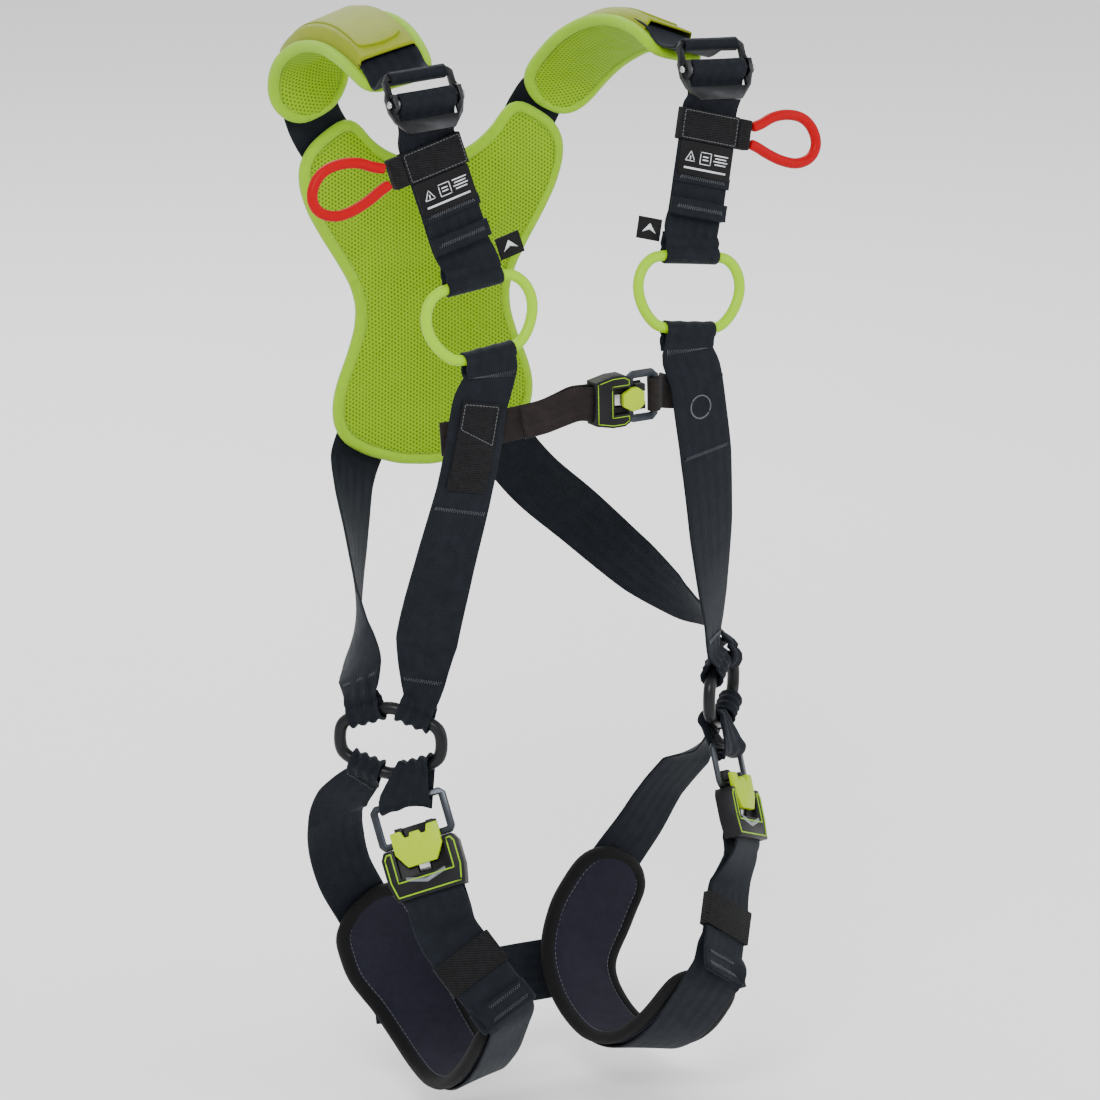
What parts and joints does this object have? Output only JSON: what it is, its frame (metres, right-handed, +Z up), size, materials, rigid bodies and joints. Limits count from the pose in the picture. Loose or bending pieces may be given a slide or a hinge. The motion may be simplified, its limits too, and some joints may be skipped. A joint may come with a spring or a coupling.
{
  "type": "full-body climbing and work harness",
  "caption": "Full-body harness: padded shoulders, butterfly back pad, padded leg loops, webbing with slide adjusters, metal rings and hook buckles.",
  "frame": {"origin": "the point midway between the shoulder pads, level with their top, where the harness hangs from the wearer's shoulders", "axes": "+X to the wearer's left, +Y to the wearer's back, +Z up"},
  "size_m": [0.4252, 0.3014, 0.7951],
  "materials": {
    "pad_mesh": "spacer mesh with a lime piped edge",
    "cover": "smooth coated fabric",
    "leg_pad": "brushed knit lining with bound edges",
    "webbing": "woven polyester webbing, 45 mm",
    "chest_webbing": "woven polyester webbing, 25 mm",
    "elastic": "ribbed elastic",
    "card": "printed satin card",
    "cord": "glossy sheath",
    "bright_ring": "semi-gloss powder coat",
    "dark_ring": "semi-gloss powder coat",
    "steel": "satin",
    "adjuster": "satin black coating",
    "hook": "dark anodised",
    "plastic": "fine moulded texture",
    "slider": "satin yellow moulding",
    "spring": "bright"
  },
  "bodies": {
    "harness": {"back_pad": "pad_mesh", "seat_strap": "webbing", "dorsal_plate": "plastic", "chest_strap_right": "chest_webbing", "chest_strap_left": "chest_webbing", "chest_patch": "elastic", "chest_buckle_body": "plastic", "chest_buckle_spring": "spring", "shoulder_pad_right": "pad_mesh", "shoulder_cover_right": "cover", "leg_pad_right": "leg_pad", "shoulder_strap_right": "webbing", "front_strap_right": "webbing", "torso_strap_right": "webbing", "leg_strap_right": "webbing", "buckle_strap_right": "webbing", "hip_ring_right": "dark_ring", "size_flag_right": "card", "adjuster_frame_right": "adjuster", "leg_buckle_body_right": "plastic", "leg_buckle_spring_right": "spring", "shoulder_pad_left": "pad_mesh", "shoulder_cover_left": "cover", "leg_pad_left": "leg_pad", "shoulder_strap_left": "webbing", "front_strap_left": "webbing", "torso_strap_left": "webbing", "leg_strap_left": "webbing", "buckle_strap_left": "webbing", "hip_ring_left": "dark_ring", "size_flag_left": "card", "adjuster_frame_left": "adjuster", "leg_buckle_body_left": "plastic", "leg_buckle_spring_left": "spring"},
    "dorsal_ring": {"dorsal_ring": "steel"},
    "chest_slider": {"chest_buckle_slider": "slider"},
    "chest_hook": {"chest_hook_frame": "hook"},
    "chest_ring_right": {"chest_ring_right": "bright_ring"},
    "sleeve_right": {"strap_sleeve_right": "elastic", "strap_card_right": "card", "cord_tab_right": "elastic", "cord_loop_right": "cord"},
    "leg_keeper_right": {"leg_keeper_right": "elastic"},
    "adjuster_bar_right": {"adjuster_bar_right": "steel"},
    "leg_slider_right": {"leg_buckle_slider_right": "slider"},
    "leg_hook_right": {"leg_hook_frame_right": "hook"},
    "chest_ring_left": {"chest_ring_left": "bright_ring"},
    "sleeve_left": {"strap_sleeve_left": "elastic", "strap_card_left": "card", "cord_tab_left": "elastic", "cord_loop_left": "cord"},
    "leg_keeper_left": {"leg_keeper_left": "elastic"},
    "adjuster_bar_left": {"adjuster_bar_left": "steel"},
    "leg_slider_left": {"leg_buckle_slider_left": "slider"},
    "leg_hook_left": {"leg_hook_frame_left": "hook"}
  },
  "joints": [
    {"name": "dorsal_ring_swing", "type": "hinge", "parent": "harness", "child": "dorsal_ring", "pos_m": [0, 0.1366, -0.212], "axis": [1, 0, 0], "range_deg": [0, 160]},
    {"name": "chest_slider_press", "type": "slide", "parent": "harness", "child": "chest_slider", "axis": [-0.9998, 0, -0.02], "range_m": [0, 0.006], "stiffness_N_per_m": 300, "springref_m": -0.003},
    {"name": "chest_hook_play", "type": "hinge", "parent": "harness", "child": "chest_hook", "pos_m": [0.047, -0.127, -0.2566], "axis": [-0.02, 0, 0.9998], "range_deg": [0, 3]},
    {"name": "chest_ring_shift_right", "type": "slide", "parent": "harness", "child": "chest_ring_right", "axis": [-0.992, 0, -0.126], "range_m": [-0.0008, 0.0008]},
    {"name": "sleeve_slide_right", "type": "slide", "parent": "harness", "child": "sleeve_right", "axis": [-0.2564, 0.1648, 0.9524], "range_m": [-0.008, 0.004]},
    {"name": "leg_keeper_slide_right", "type": "slide", "parent": "harness", "child": "leg_keeper_right", "axis": [-0.4211, 0.4716, 0.7748], "range_m": [-0.006, 0.006]},
    {"name": "adjuster_bar_slide_right", "type": "slide", "parent": "harness", "child": "adjuster_bar_right", "axis": [-0.0501, 0.4705, 0.881], "range_m": [0, 0.0018]},
    {"name": "leg_slider_press_right", "type": "slide", "parent": "harness", "child": "leg_slider_right", "axis": [0.0501, -0.4705, -0.881], "range_m": [0, 0.006], "stiffness_N_per_m": 300, "springref_m": -0.003},
    {"name": "leg_hook_play_right", "type": "hinge", "parent": "harness", "child": "leg_hook_right", "pos_m": [-0.13495, -0.08586, -0.54595], "axis": [-0.779, 0.5336, -0.3293], "range_deg": [0, 3]},
    {"name": "chest_ring_shift_left", "type": "slide", "parent": "harness", "child": "chest_ring_left", "axis": [0.992, 0, -0.126], "range_m": [-0.0008, 0.0008]},
    {"name": "sleeve_slide_left", "type": "slide", "parent": "harness", "child": "sleeve_left", "axis": [0.2564, 0.1648, 0.9524], "range_m": [-0.008, 0.004]},
    {"name": "leg_keeper_slide_left", "type": "slide", "parent": "harness", "child": "leg_keeper_left", "axis": [0.4211, 0.4716, 0.7748], "range_m": [-0.006, 0.006]},
    {"name": "adjuster_bar_slide_left", "type": "slide", "parent": "harness", "child": "adjuster_bar_left", "axis": [0.0501, 0.4705, 0.881], "range_m": [0, 0.0018]},
    {"name": "leg_slider_press_left", "type": "slide", "parent": "harness", "child": "leg_slider_left", "axis": [-0.0501, -0.4705, -0.881], "range_m": [0, 0.006], "stiffness_N_per_m": 300, "springref_m": -0.003},
    {"name": "leg_hook_play_left", "type": "hinge", "parent": "harness", "child": "leg_hook_left", "pos_m": [0.13495, -0.08586, -0.54595], "axis": [-0.779, -0.5336, 0.3293], "range_deg": [0, 3]}
  ]
}
